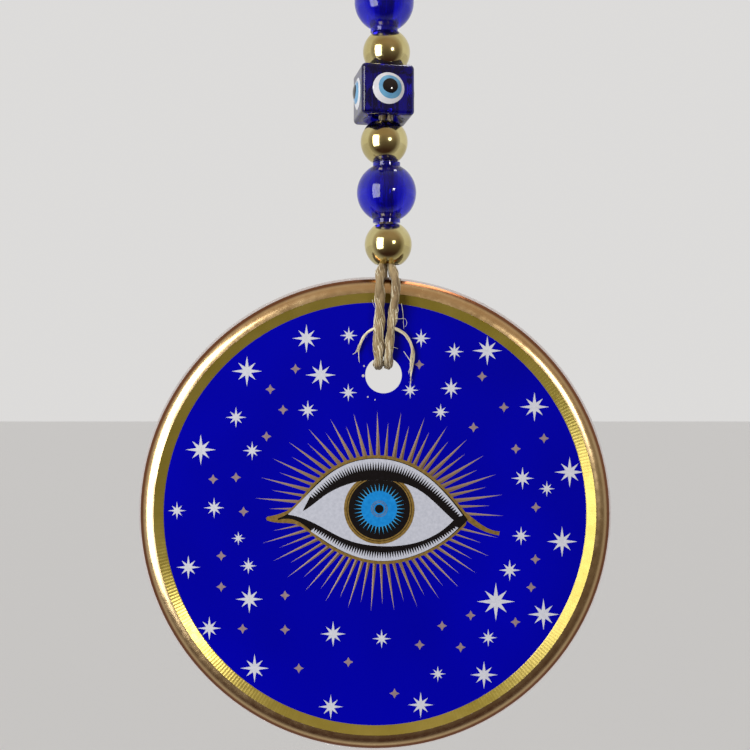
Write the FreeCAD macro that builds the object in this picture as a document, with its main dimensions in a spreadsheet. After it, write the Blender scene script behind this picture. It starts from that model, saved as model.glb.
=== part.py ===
"""Evil eye wall ornament: a cobalt glass disc with a printed eye and a gilt rim, hung on jute twine
under a string of beads.

Units are millimetres and +Z is up. The origin is the top of the nail, where the hanging loop bears on
it. The printed face looks towards -Y, and the bead string hangs along the Z axis.
"""

import FreeCAD
import Part

import math
import os

import Sketcher

V = FreeCAD.Vector

# Driving dimensions. Heights called "rise" are measured up from the centre of the disc.
DIMENSIONS = {
    "disc_radius": 50.0,
    "field_radius": 44.4,
    "band_radius": 46.4,
    "gilt_radius": 49.3,
    "half_glass": 2.5,
    "rim_rise": 0.85,
    "back_round": 2.2,
    "enamel_thick": 0.1,
    "gilt_thick": 0.08,
    "ink_thick": 0.04,
    "disc_side": 2.4,
    "disc_drop": 166.0,
    "bore_radius": 3.85,
    "bore_side": 1.8,
    "bore_rise": 29.2,
    "bore_bevel": 0.25,
    "pupil_side": 0.9,
    "pupil_rise": 1.1,
    "iris_ring_outer": 7.4,
    "iris_radius": 6.85,
    "flare_radius": 3.75,
    "flare_reach": 5.4,
    "pupil_radius": 0.9,
    "bead_bore": 2.4,
    "lowest_bead_rise": 52.6,
    "gold_radius": 5.0,
    "gold_height": 8.4,
    "cobalt_radius": 6.3,
    "cobalt_height": 12.8,
    "collar_radius": 2.9,
    "cube_width": 11.2,
    "cube_height": 10.8,
    "cube_round": 0.95,
    "cube_bore": 2.9,
    "cube_mouth": 1.6,
    "eye_white": 3.35,
    "eye_blue": 2.6,
    "eye_pupil": 1.6,
    "twine_radius": 0.95,
    "squeezed_radius": 0.76,
    "ply_radius": 0.36,
    "knot_width": 3.5,
    "knot_half_height": 2.9,
}

os.makedirs("parts", exist_ok=True)
doc = FreeCAD.newDocument("evil_eye_ornament")
sheet = doc.addObject("Spreadsheet::Sheet", "Dimensions")
for row, (alias, number) in enumerate(DIMENSIONS.items(), start=1):
    sheet.set(f"A{row}", alias)
    sheet.set(f"B{row}", str(number))
    sheet.setAlias(f"B{row}", alias)
doc.recompute()

nodes = []


def size(alias):
    """The number that the sheet holds under an alias."""
    return float(sheet.get(alias))


def bound(obj, prop, expression):
    """Ties a property to the sheet. Aliases in the expression are written as @alias."""
    obj.setExpression(prop, expression.replace("@", "Dimensions."))


def node(obj, name):
    """Marks an object as one of the part's pieces."""
    obj.Label = name
    nodes.append(obj)
    return obj


def shaped(name, shape):
    """A piece whose shape is worked out here, where no feature fits it."""
    obj = doc.addObject("Part::Feature", "shape_" + name)
    obj.Shape = shape
    return node(obj, name)


# ---------------------------------------------------------------- places

DISC = V(-size("disc_side"), 0, -size("disc_drop"))
HOLE = V(size("bore_side"), 0, size("bore_rise"))
PUPIL = V(size("pupil_side"), 0, size("pupil_rise"))
FACE = -size("half_glass") - size("enamel_thick")
INK = size("ink_thick")


def on_string(x, y, rise):
    """A place beside the string's axis, at a height above the disc's centre."""
    return V(x, y, rise - size("disc_drop"))


# ---------------------------------------------------------------- the disc


def origin_plane(body, role):
    return next(f for f in body.Origin.OriginFeatures if f.Role == role)


def sketch_on(body, name, role):
    sketch = body.newObject("Sketcher::SketchObject", name)
    sketch.AttachmentSupport = [(origin_plane(body, role), "")]
    sketch.MapMode = "FlatFace"
    return sketch


def close_loop(sketch, edges):
    """Ties the end of each edge to the start of the next one. edges holds (geometry index, start, end)."""
    for this, following in zip(edges, edges[1:] + edges[:1]):
        sketch.addConstraint(Sketcher.Constraint("Coincident", this[0], this[2], following[0], following[1]))


RIM_OUTER = V(size("disc_radius"), 0.3, 0)
RIM_CREASE = V(size("band_radius"), -size("half_glass") - size("rim_rise"), 0)
FIELD_EDGE = V(size("field_radius"), -size("half_glass"), 0)
# The rolled front is one arc that leaves the disc's edge square to its radius and ends at the crease.
roll_width, roll_depth = RIM_OUTER.x - RIM_CREASE.x, RIM_OUTER.y - RIM_CREASE.y
ROLL_RADIUS = (roll_width**2 + roll_depth**2) / (2 * roll_width)
ROLL_CENTRE = RIM_OUTER - V(ROLL_RADIUS, 0, 0)


def on_roll(x, lift=0.0):
    """The point of the rim's rolled front at radius x, lifted off the glass."""
    drop = math.sqrt(ROLL_RADIUS**2 - (x - ROLL_CENTRE.x) ** 2)
    point = V(x, ROLL_CENTRE.y - drop, 0)
    return point + (point - ROLL_CENTRE).normalize() * lift


def revolved(name, profile):
    """A PartDesign body turned about the disc's axis. profile(sketch) draws it: X is radius, Y is depth."""
    body = doc.addObject("PartDesign::Body", "body_" + name)
    sketch = sketch_on(body, "profile_" + name, "XY_Plane")
    profile(sketch)
    turned = body.newObject("PartDesign::Revolution", "turn_" + name)
    turned.Profile = sketch
    turned.ReferenceAxis = (sketch, ["V_Axis"])
    turned.Angle = 360
    body.Tip = turned
    body.Placement.Base = DISC
    return body


def line(sketch, a, b):
    return sketch.addGeometry(Part.LineSegment(a, b), False)


def arc(sketch, a, b, c):
    """An arc from a through b to c. Gives its index and which of its ends is a."""
    index = sketch.addGeometry(Part.Arc(a, b, c), False)
    starts_at_a = sketch.getPoint(index, 1).distanceToPoint(a) < 1e-6
    return (index, 1, 2) if starts_at_a else (index, 2, 1)


def glass_profile(sketch):
    half = size("half_glass")
    back_edge = V(size("disc_radius") - size("back_round"), half, 0)
    corner = V(size("disc_radius") - 0.55, half - 0.75, 0)
    middle_back, middle_front = V(0, half, 0), V(0, -half, 0)
    back = line(sketch, middle_back, back_edge)
    rounded = arc(sketch, back_edge, corner, RIM_OUTER)
    roll = arc(sketch, RIM_OUTER, on_roll((RIM_OUTER.x + RIM_CREASE.x) / 2), RIM_CREASE)
    band = line(sketch, RIM_CREASE, FIELD_EDGE)
    field = line(sketch, FIELD_EDGE, middle_front)
    axis = line(sketch, middle_front, middle_back)
    close_loop(sketch, [(back, 1, 2), rounded, roll, (band, 1, 2), (field, 1, 2), (axis, 1, 2)])
    sketch.addConstraint(Sketcher.Constraint("PointOnObject", axis, 1, -2))
    sketch.addConstraint(Sketcher.Constraint("PointOnObject", axis, 2, -2))
    for flat in (back, field):
        sketch.addConstraint(Sketcher.Constraint("Horizontal", flat))
    named_sizes = (
        ("half_back", Sketcher.Constraint("DistanceY", -1, 1, axis, 2, half), "@half_glass"),
        ("half_front", Sketcher.Constraint("DistanceY", axis, 1, -1, 1, half), "@half_glass"),
        ("field", Sketcher.Constraint("DistanceX", -1, 1, field, 1, FIELD_EDGE.x), "@field_radius"),
        ("crease", Sketcher.Constraint("DistanceX", -1, 1, band, 1, RIM_CREASE.x), "@band_radius"),
        ("outer", Sketcher.Constraint("DistanceX", -1, 1, roll[0], roll[1], RIM_OUTER.x), "@disc_radius"),
    )
    for name, constraint, expression in named_sizes:
        index = sketch.addConstraint(constraint)
        sketch.renameConstraint(index, name)
        bound(sketch, f"Constraints.{name}", expression)


def drill(body, name, chips=()):
    """Drills the cord's hole through a turned body, with any small round chips (across, up, radius) by it."""
    sketch = sketch_on(body, "bore_" + name, "XZ_Plane")
    circle = sketch.addGeometry(Part.Circle(V(HOLE.x, HOLE.z, 0), V(0, 0, 1), size("bore_radius")), False)
    for across, up, radius in chips:
        sketch.addGeometry(Part.Circle(V(HOLE.x + across, HOLE.z + up, 0), V(0, 0, 1), radius), False)
    index = sketch.addConstraint(Sketcher.Constraint("Radius", circle, size("bore_radius")))
    sketch.renameConstraint(index, "bore")
    bound(sketch, "Constraints.bore", "@bore_radius")
    pocket = body.newObject("PartDesign::Pocket", "drilled_" + name)
    pocket.Profile = sketch
    pocket.Type = "ThroughAll"
    pocket.Midplane = True
    body.Tip = pocket
    return pocket


def bevel_bore(body, drilled, radius, width):
    """Bevels both mouths of a hole. width is the bevel's alias on the sheet."""
    doc.recompute()
    mouths = [
        f"Edge{number}"
        for number, edge in enumerate(drilled.Shape.Edges, start=1)
        if edge.Closed and abs(edge.Length - 2 * math.pi * radius) < 1e-6
    ]
    bevelled = body.newObject("PartDesign::Chamfer", "bevelled_" + drilled.Name)
    bevelled.Base = (drilled, mouths)
    bound(bevelled, "Size", "@" + width)
    body.Tip = bevelled


glass = revolved("glass_disc", glass_profile)
bevel_bore(glass, drill(glass, "glass_disc"), size("bore_radius"), "bore_bevel")
node(glass, "glass_disc")


def enamel_profile(sketch):
    """The blue enamel that fills the field inside the rim."""
    near, far = -size("half_glass"), FACE
    corners = [V(0, near, 0), V(size("field_radius"), near, 0), V(size("field_radius"), far, 0), V(0, far, 0)]
    edges = [line(sketch, a, b) for a, b in zip(corners, corners[1:] + corners[:1])]
    close_loop(sketch, [(edge, 1, 2) for edge in edges])


# Specks of enamel that came away when the hole was drilled.
ENAMEL_CHIPS = [(-4.28, -0.15, 0.30), (-4.1, 1.9, 0.18), (-3.3, -4.6, 0.17), (-1.8, -5.2, 0.15)]
enamel = revolved("blue_enamel", enamel_profile)
drill(enamel, "blue_enamel", ENAMEL_CHIPS)
node(enamel, "blue_enamel")


def gilt_roll_profile(sketch):
    """Fired gold over the rolled rim, from just inside the disc's edge to the crease."""
    lift = size("gilt_thick")
    start, end = size("gilt_radius"), size("band_radius")
    middle = (start + end) / 2
    under = arc(sketch, on_roll(start), on_roll(middle), on_roll(end))
    inner = line(sketch, on_roll(end), on_roll(end, lift))
    over = arc(sketch, on_roll(end, lift), on_roll(middle, lift), on_roll(start, lift))
    outer = line(sketch, on_roll(start, lift), on_roll(start))
    close_loop(sketch, [under, (inner, 1, 2), over, (outer, 1, 2)])


def gilt_band_profile(sketch):
    """The flat gilt band that slopes from the crease down to the enamel."""
    lift = size("gilt_thick")
    high, low = RIM_CREASE, FIELD_EDGE
    along = (low - high).normalize()
    out = V(along.y, -along.x, 0)
    out = out if out.y < 0 else -out
    low_edge = V(low.x, FACE, 0)
    corners = [high, low, low_edge, low_edge + V(0.12, -lift, 0), high + out * lift]
    edges = [line(sketch, a, b) for a, b in zip(corners, corners[1:] + corners[:1])]
    close_loop(sketch, [(edge, 1, 2) for edge in edges])


node(revolved("gilt_roll", gilt_roll_profile), "gilt_roll")
node(revolved("gilt_band", gilt_band_profile), "gilt_band")


# ---------------------------------------------------------------- the print on the enamel


def on_face(x, z, layer=0):
    """A point of the print, from the disc's centre. Each layer lies on the one before it."""
    return DISC + V(x, FACE - layer * INK, z)


def from_pupil(x, z, layer=0):
    return on_face(PUPIL.x + x, PUPIL.z + z, layer)


def curve_through(points, layer):
    spline = Part.BSplineCurve()
    spline.interpolate([from_pupil(x, z, layer) for x, z in points])
    return spline


def face_of(edges):
    return Part.Face(Part.Wire(edges))


def polygon_face(points):
    return Part.Face(Part.makePolygon(points + points[:1]))


def disc_face(radius, layer, x=0.0, z=0.0):
    return face_of([Part.Edge(Part.Circle(from_pupil(x, z, layer), V(0, -1, 0), radius))])


def printed(name, faces):
    """A layer of ink: its outline, thickened towards the viewer by the sheet's ink thickness."""
    outline = doc.addObject("Part::Feature", "outline_" + name)
    outline.Shape = faces[0] if len(faces) == 1 else Part.makeCompound(faces)
    ink = doc.addObject("Part::Extrusion", "ink_" + name)
    ink.Base = outline
    ink.DirMode = "Custom"
    ink.Dir = V(0, -1, 0)
    ink.Solid = True
    bound(ink, "LengthFwd", "@ink_thick")
    return node(ink, name)


# The lids, from the left corner to the right one, from the pupil's centre.
SCLERA_TOP = [
    (-19.2, -1.2), (-15.9, -0.4), (-11.6, 2.7), (-7.2, 4.95), (-3.6, 5.85), (0.4, 6.0), (4.5, 5.5),
    (8.4, 3.9), (12.0, 1.0), (15.6, -2.4),
]
SCLERA_FOOT = [(-19.2, -1.2), (-13.5, -3.1), (-7.1, -6.4), (0.4, -7.85), (8.3, -6.95), (15.6, -2.4)]
WHITE_CORNER = (-16.1, -0.5)
WHITE_CORNER_INSIDE = (-16.5, -1.6)
LASH_TOP = [(-19.2, -1.2), (-14.5, 3.6), (-8.0, 8.8), (-0.4, 10.5), (8.0, 8.1), (14.2, 2.8), (17.9, -1.9)]
LASH_FOOT = [
    (-17.6, -2.6), (-13.4, -5.4), (-7.0, -9.2), (0.2, -10.95), (7.6, -9.7), (13.6, -6.6), (17.0, -3.6),
]
BLACK_TOP = [
    (-21.3, -2.0), (-18.6, -0.6), (-14.6, 3.75), (-8.05, 8.95), (-0.4, 10.65), (8.1, 8.2), (14.4, 2.9),
    (18.6, -2.3),
]
BLACK_FOOT = [
    (-21.3, -2.4), (-17.4, -2.5), (-13.3, -5.5), (-7.0, -9.3), (0.2, -11.0), (7.6, -9.8), (13.8, -6.6),
    (18.6, -2.3),
]
GOLD_TOP = [
    (-23.4, -1.65), (-21.6, -1.25), (-19.0, -0.2), (-14.9, 4.2), (-8.3, 9.5), (-0.4, 11.25), (8.4, 8.75),
    (14.8, 3.2),
]
GOLD_FOOT = [
    (-23.4, -2.5), (-21.6, -2.9), (-17.5, -3.3), (-13.4, -6.1), (-7.0, -9.95), (0.2, -11.6), (7.8, -10.35),
    (14.2, -6.9),
]
GOLD_CORNER_TOP = (18.5, -1.2)
GOLD_CORNER_FOOT = (18.2, -3.4)
GOLD_CORNER_END = (-23.3, -2.07)
GOLD_CORNER_ROUND = 0.46
TAIL_UPPER = [(17.7, -0.55), (20.8, -2.85), (22.9, -4.15), (25.3, -4.75)]
TAIL_LOWER = [(25.15, -5.6), (22.6, -4.95), (20.3, -3.85), (17.7, -1.9)]

GOLD_LAYER, BLACK_LAYER, WHITE_LAYER, RING_LAYER, IRIS_LAYER, FLARE_LAYER, SPIKE_LAYER, PUPIL_LAYER = range(8)


def closed_region(top, foot, layer):
    """The face between two curves. Where their ends differ, a short straight edge joins them."""
    upper, lower = curve_through(top, layer), curve_through(foot, layer)
    edges = [upper.toShape()]
    right = (upper.EndPoint, lower.EndPoint)
    left = (lower.StartPoint, upper.StartPoint)
    if right[0].distanceToPoint(right[1]) > 1e-6:
        edges.append(Part.makeLine(*right))
    edges.append(lower.toShape())
    if left[0].distanceToPoint(left[1]) > 1e-6:
        edges.append(Part.makeLine(*left))
    return face_of(Part.__sortEdges__(edges))


def tail_face(layer):
    upper, lower = curve_through(TAIL_UPPER, layer), curve_through(TAIL_LOWER, layer)
    edges = [
        upper.toShape(),
        Part.makeLine(upper.EndPoint, lower.StartPoint),
        lower.toShape(),
        Part.makeLine(lower.EndPoint, upper.StartPoint),
    ]
    return face_of(edges)


def gold_layer(thick):
    """The gold under the lids, with its rounded left end and its tail, in one layer of a given thickness."""
    lid = closed_region(GOLD_TOP + [GOLD_CORNER_TOP], GOLD_FOOT + [GOLD_CORNER_FOOT], GOLD_LAYER)
    end = disc_face(GOLD_CORNER_ROUND, GOLD_LAYER, *GOLD_CORNER_END)
    parts = [face.extrude(V(0, -thick, 0)) for face in (lid, end, tail_face(GOLD_LAYER))]
    return parts[0].fuse(parts[1:]).removeSplitter()


def inside_of(curve, share, depth):
    """The point a depth to the right of a curve, at a share of the way along it."""
    at = curve.FirstParameter + (curve.LastParameter - curve.FirstParameter) * share
    tangent = curve.tangent(at)[0]
    return curve.value(at) + V(tangent.z, 0, -tangent.x) * depth


def comb_face(curve_points, inward, layer, count, solid, length, first, last):
    """A band along a lid whose inner edge is a row of spikes.

    solid is the band's own width, length(share) the spikes' at a share of the way along, and first and
    last are where the row starts and stops, as shares of the curve.
    """
    curve = curve_through(curve_points, layer)
    share_at = [first + (last - first) * step / (2 * count) for step in range(2 * count + 1)]
    outer = [inside_of(curve, share, 0.0) for share in share_at]
    inner = []
    for step, share in enumerate(share_at):
        is_tip = step % 2 == 1
        depth = solid(share) + (length(share) if is_tip else 0.0)
        inner.append(inside_of(curve, share, inward * depth))
    return polygon_face(outer + inner[::-1])


def crowned(low, high):
    """A size that grows from low at both corners of the eye to high at its middle."""
    return lambda share: low + (high - low) * math.sin(math.pi * share) ** 0.8


RAY_RIDGE = 0.13
RAY_CROWDING = 0.09
# Angles round the pupil in degrees. The long and the short rays' tips lie on ellipses (half width, half
# height), and root is half a ray's width where it starts.
UPPER_RAYS = {
    "count": 32, "first": -4.0, "last": 180.0, "long": (26.2, 20.5), "short": (23.2, 18.2), "root": 0.62,
}
LOWER_RAYS = {
    "count": 28, "first": 343.4, "last": 194.2, "long": (26.0, 21.6), "short": (23.0, 20.0), "root": 0.50,
}


def ray(tip, root, half_root):
    """One gold ray: a sharp blade with a low ridge along its middle, from its root to its tip."""
    side = V(-(tip - root).z, 0, (tip - root).x).normalize() * half_root
    left, right, point = [from_pupil(p.x, p.z, GOLD_LAYER) for p in (root - side, root + side, tip)]
    crest = from_pupil(root.x, root.z, GOLD_LAYER) - V(0, RAY_RIDGE, 0)
    corners = ((left, right, point), (left, right, crest), (left, point, crest), (right, point, crest))
    blade = Part.Solid(Part.makeShell([polygon_face(list(three)) for three in corners]))
    return blade if blade.Volume > 0 else blade.reversed()


def is_outside(solid):
    """Whether a piece of a ray lies outside the lids and not over the eye."""
    return solid.BoundBox.Center.sub(DISC + PUPIL).Length > 9


def ray_row(count, first, last, long, short, root, cutter):
    """A row of rays, long and short by turns, cut where they meet the gold line round the lids."""
    pieces = []
    for number in range(count):
        turn = math.radians(first + (last - first) * number / (count - 1))
        turn -= RAY_CROWDING * math.sin(2 * turn)
        wide, tall = short if number % 2 else long
        reach = 1 / math.hypot(math.cos(turn) / wide, math.sin(turn) / tall)
        tip = V(reach * math.cos(turn), 0, reach * math.sin(turn))
        # The rays over the outer half of the upper lid fan out from a point nearer the tail.
        focus = V(3.2 * min(1, max(0, 2 * math.cos(turn))), 0, 0) if tip.z > 0 else V(0, 0, 0)
        blade = ray(tip, focus + (tip - focus) * 0.4, root).cut(cutter)
        pieces += [solid for solid in blade.Solids if solid.Volume > 0.005 and is_outside(solid)]
    return pieces


shaped("gold_outline", gold_layer(INK))
above_gold = gold_layer(2 * RAY_RIDGE)
shaped("gold_rays_upper", Part.makeCompound(ray_row(cutter=above_gold, **UPPER_RAYS)))
shaped("gold_rays_lower", Part.makeCompound(ray_row(cutter=above_gold, **LOWER_RAYS)))
printed("black_lids", [closed_region(BLACK_TOP, BLACK_FOOT, BLACK_LAYER)])
sclera = closed_region(SCLERA_TOP, SCLERA_FOOT, WHITE_LAYER)
# Where the lashes start and stop, as shares of the lid's length, and how many there are.
UPPER_START, LOWER_START, LASHES_END = 0.13, 0.10, 0.985
UPPER_COUNT, LOWER_COUNT = 66, 60


def white_corner_face():
    """The plain white inside the eye's left corner, between the lashes' start and the white of the eye."""
    lid = curve_through(LASH_TOP, WHITE_LAYER)
    outer = [inside_of(lid, UPPER_START * step / 8, 0.0) for step in range(9)]
    outer.append(inside_of(lid, UPPER_START, 0.7))
    inner = [from_pupil(*point, WHITE_LAYER) for point in (WHITE_CORNER, WHITE_CORNER_INSIDE)]
    return polygon_face(outer + inner).cut(sclera)


upper_comb = comb_face(
    LASH_TOP, 1, WHITE_LAYER, UPPER_COUNT, crowned(0.15, 0.55), crowned(0.45, 1.9), UPPER_START, LASHES_END
)
lower_comb = comb_face(
    LASH_FOOT, -1, WHITE_LAYER, LOWER_COUNT, crowned(0.12, 0.42), crowned(0.4, 1.5), LOWER_START, LASHES_END
)
corner = max(white_corner_face().cut(upper_comb).Faces, key=lambda face: face.Area)
printed("upper_lashes", [upper_comb.cut(sclera).Faces[0], corner])
printed("lower_lashes", [lower_comb])
printed("white_of_eye", [sclera])


def within_eye(face, layer):
    """The part of a round face that the lids leave open."""
    opening = closed_region(SCLERA_TOP, SCLERA_FOOT, layer)
    return face.common(opening).Faces[0]


def ring_face(outer, inner, layer):
    return disc_face(outer, layer).cut(disc_face(inner, layer))


# Thin gold circles, as (outer, inner) radius.
INNER_LINE = (6.72, 6.45)
PUPIL_LINES = ((1.71, 1.63), (1.38, 1.27))
outer_line = ring_face(size("iris_ring_outer"), size("iris_radius"), RING_LAYER)
inner_line = ring_face(*INNER_LINE, IRIS_LAYER)
printed("iris_ring", [within_eye(outer_line, RING_LAYER), within_eye(inner_line, IRIS_LAYER)])
printed("iris", [within_eye(disc_face(size("iris_radius"), RING_LAYER), RING_LAYER)])


def star_points(centre, tips):
    """Corners of a star from (angle in degrees, radius) pairs."""
    return [
        centre + V(radius * math.cos(math.radians(turn)), 0, radius * math.sin(math.radians(turn)))
        for turn, radius in tips
    ]


def flare_face(layer):
    """Fine spikes round the iris's blue heart."""
    spikes, half_foot = 36, 2.3
    foot, reach = size("flare_radius") - 0.1, size("flare_reach")
    tips = []
    for spike in range(spikes):
        turn = spike * 360 / spikes
        tips += [(turn - half_foot, foot), (turn, reach), (turn + half_foot, foot)]
    return polygon_face(star_points(from_pupil(0, 0, layer), tips))


printed("iris_flare", [flare_face(IRIS_LAYER)])
printed("iris_blue", [disc_face(size("flare_radius"), FLARE_LAYER)])
printed("pupil_rings", [ring_face(*radii, SPIKE_LAYER) for radii in PUPIL_LINES])
printed("pupil", [disc_face(size("pupil_radius"), SPIKE_LAYER)])

# Stars of the field: across, up and reach of the longest point, from the disc's centre.
WHITE_STARS = [
    (-14.4, 36.9, 3.0), (-5.5, 37.5, 1.9), (-26.9, 30.0, 3.2), (-11.4, 29.2, 3.2), (-5.6, 25.5, 1.9),
    (-14.1, 21.8, 2.1), (-29.2, 20.3, 2.2), (-36.6, 13.5, 3.2), (-25.8, 13.3, 2.0), (-41.6, 0.7, 1.9),
    (-33.8, 1.3, 2.2), (-28.7, -5.1, 1.5), (-39.2, -11.2, 2.5), (-26.6, -10.9, 1.8), (-26.4, -17.9, 2.9),
    (-34.8, -24.0, 2.5), (-25.3, -32.4, 3.0), (-8.8, -25.2, 2.7), (1.4, -26.2, 2.0), (-9.3, -40.5, 2.6),
    (9.6, -40.1, 2.7), (13.2, -33.6, 1.7), (22.9, -33.8, 2.9), (23.8, -26.0, 1.9), (25.4, -18.4, 4.0),
    (35.4, -21.1, 3.3), (28.3, -11.8, 2.3), (39.3, -5.8, 3.2), (30.7, -4.6, 2.0), (36.1, 5.3, 1.7),
    (31.0, 7.5, 2.4), (40.9, 8.8, 3.2), (33.5, 22.5, 3.1), (23.6, 34.3, 3.1), (16.7, 34.1, 2.0),
    (16.0, 26.4, 2.3), (13.8, 21.4, 1.8), (9.7, 36.9, 2.0), (7.4, 26.0, 1.8),
]
GOLD_STARS = [
    (-16.7, 30.5), (-22.0, 26.2), (-19.3, 21.9), (-22.8, 16.3), (-34.0, 7.3), (-29.2, 7.7), (-27.6, 0.5),
    (-32.3, -8.8), (-32.3, -15.3), (-18.9, -17.1), (-27.8, -24.1), (-18.9, -24.3), (-16.0, -32.4),
    (-5.6, -31.1), (4.1, -37.7), (9.4, -27.5), (14.1, -23.5), (18.0, -28.0), (20.1, -21.3), (29.5, -22.7),
    (32.8, -15.4), (33.7, -9.5), (33.8, 1.4), (29.6, 13.7), (35.5, 15.9), (27.1, 22.4), (20.7, 18.2),
    (22.5, 28.9), (9.3, 31.4),
]
GOLD_STAR_REACH = 1.05


def eight_point_star(x, z, reach):
    """Long points upright and across, shorter ones between them, on a solid heart."""
    tips = []
    for step in range(16):
        share = 0.30 if step % 2 else (1.0 if step % 4 == 0 else 0.80)
        tips.append((step * 22.5, share * reach))
    return polygon_face(star_points(on_face(x, z), tips))


def four_point_star(x, z, reach):
    tips = [(step * 45, reach * (0.48 if step % 2 else 1.0)) for step in range(8)]
    return polygon_face(star_points(on_face(x, z), tips))


printed("white_stars", [eight_point_star(*star) for star in WHITE_STARS])
printed("gold_stars", [four_point_star(x, z, GOLD_STAR_REACH) for x, z in GOLD_STARS])


# ---------------------------------------------------------------- the beads


def primitive(kind, name, **sizes):
    """A Part primitive whose sizes are expressions of the sheet."""
    obj = doc.addObject("Part::" + kind, name)
    for prop, expression in sizes.items():
        bound(obj, prop, expression)
    return obj


def boolean(kind, name, base, tool):
    obj = doc.addObject("Part::" + kind, name)
    obj.Base = base
    obj.Tool = tool
    return obj


def round_bead(name, kind, centre):
    """A round bead with a straight bore. A gold one has flat ends, a cobalt one a collar at each end."""
    ball = primitive("Sphere", "ball_" + name, Radius=f"@{kind}_radius")
    ends = primitive("Cylinder", "ends_" + name, Height=f"@{kind}_height")
    bound(ends, "Radius", "@collar_radius" if kind == "cobalt" else f"@{kind}_radius + 1")
    ends.Placement.Base = V(0, 0, -size(kind + "_height") / 2)
    bore = primitive("Cylinder", "bore_" + name, Radius="@bead_bore", Height=f"@{kind}_height + 2")
    bore.Placement.Base = V(0, 0, -size(kind + "_height") / 2 - 1)
    blank = boolean("Fuse" if kind == "cobalt" else "Common", "blank_" + name, ball, ends)
    bead = boolean("Cut", "bead_" + name, blank, bore)
    bead.Placement.Base = centre
    return node(bead, name)


# From the lowest bead up: its kind, how far it hangs off the string's axis, and the gap below it. The
# bores are roomier than the twine, so each bead has settled a little to one side. The gold bead above the
# cube sits in the cube's dished mouth, so its gap is less than nothing.
STACK = (
    ("gold", 0.40, 0.0),
    ("cobalt", 0.05, 0.4),
    ("gold", -0.45, 0.12),
    ("cube", -0.58, 0.35),
    ("gold", 0.05, -0.52),
    ("cobalt", -0.45, 0.02),
    ("gold", 0.0, 0.05),
)
CUBE_TILT, CUBE_YAW = -5.0, 10.5
counts = {"gold": 0, "cobalt": 0}
rise = size("lowest_bead_rise")
middles = []
for kind, sideways, gap in STACK:
    height = size(kind + "_height")
    centre = on_string(sideways, 0, rise + gap + height / 2)
    middles.append((round(centre.x, 2), round(centre.z, 2)))
    rise += gap + height
    if kind == "cube":
        cube_centre = centre
        continue
    counts[kind] += 1
    round_bead(f"{kind}_bead_{counts[kind]}", kind, centre)
STACK_TOP = rise
# The cube leans back at its foot and shows its left side.
lean, yaw = FreeCAD.Rotation(V(1, 0, 0), CUBE_TILT), FreeCAD.Rotation(V(0, 0, 1), CUBE_YAW)
cube_place = FreeCAD.Placement(cube_centre, lean.multiply(yaw))


def cube_body():
    """A glass cube with softened edges, bored from top to bottom."""
    body = doc.addObject("PartDesign::Body", "body_cube_bead")
    square = sketch_on(body, "square", "XY_Plane")
    half = size("cube_width") / 2
    corners = [V(-half, -half, 0), V(half, -half, 0), V(half, half, 0), V(-half, half, 0)]
    edges = [line(square, a, b) for a, b in zip(corners, corners[1:] + corners[:1])]
    close_loop(square, [(edge, 1, 2) for edge in edges])
    for edge in (edges[0], edges[2]):
        square.addConstraint(Sketcher.Constraint("Horizontal", edge))
    for edge in (edges[1], edges[3]):
        square.addConstraint(Sketcher.Constraint("Vertical", edge))
    square.addConstraint(Sketcher.Constraint("Symmetric", edges[0], 1, edges[2], 1, -1, 1))
    for name, edge, direction in (("width", edges[0], "DistanceX"), ("depth", edges[1], "DistanceY")):
        index = square.addConstraint(Sketcher.Constraint(direction, edge, 1, edge, 2, 2 * half))
        square.renameConstraint(index, name)
        bound(square, f"Constraints.{name}", "@cube_width")
    pad = body.newObject("PartDesign::Pad", "block")
    pad.Profile = square
    pad.Midplane = True
    bound(pad, "Length", "@cube_height")
    doc.recompute()
    softened = body.newObject("PartDesign::Fillet", "softened")
    softened.Base = (pad, [f"Edge{number}" for number in range(1, len(pad.Shape.Edges) + 1)])
    bound(softened, "Radius", "@cube_round")
    circle_sketch = sketch_on(body, "cube_bore_circle", "XY_Plane")
    circle = circle_sketch.addGeometry(Part.Circle(V(0, 0, 0), V(0, 0, 1), size("cube_bore")), False)
    circle_sketch.addConstraint(Sketcher.Constraint("Coincident", circle, 3, -1, 1))
    index = circle_sketch.addConstraint(Sketcher.Constraint("Radius", circle, size("cube_bore")))
    circle_sketch.renameConstraint(index, "bore")
    bound(circle_sketch, "Constraints.bore", "@cube_bore")
    pocket = body.newObject("PartDesign::Pocket", "cube_bored")
    pocket.Profile = circle_sketch
    pocket.Type = "ThroughAll"
    pocket.Midplane = True
    bevel_bore(body, pocket, size("cube_bore"), "cube_mouth")
    body.Placement = cube_place
    return body


node(cube_body(), "cube_bead")


def eye_dot(radius, edge, top):
    """One melted-on glass dot: a round whose side reaches the height edge and whose dome rises to top."""
    dome = top - edge
    ball = (radius**2 + dome**2) / (2 * dome)
    cap = Part.makeSphere(ball, V(0, 0, top - ball))
    return cap.common(Part.makeCylinder(radius, top + 0.001))


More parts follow.
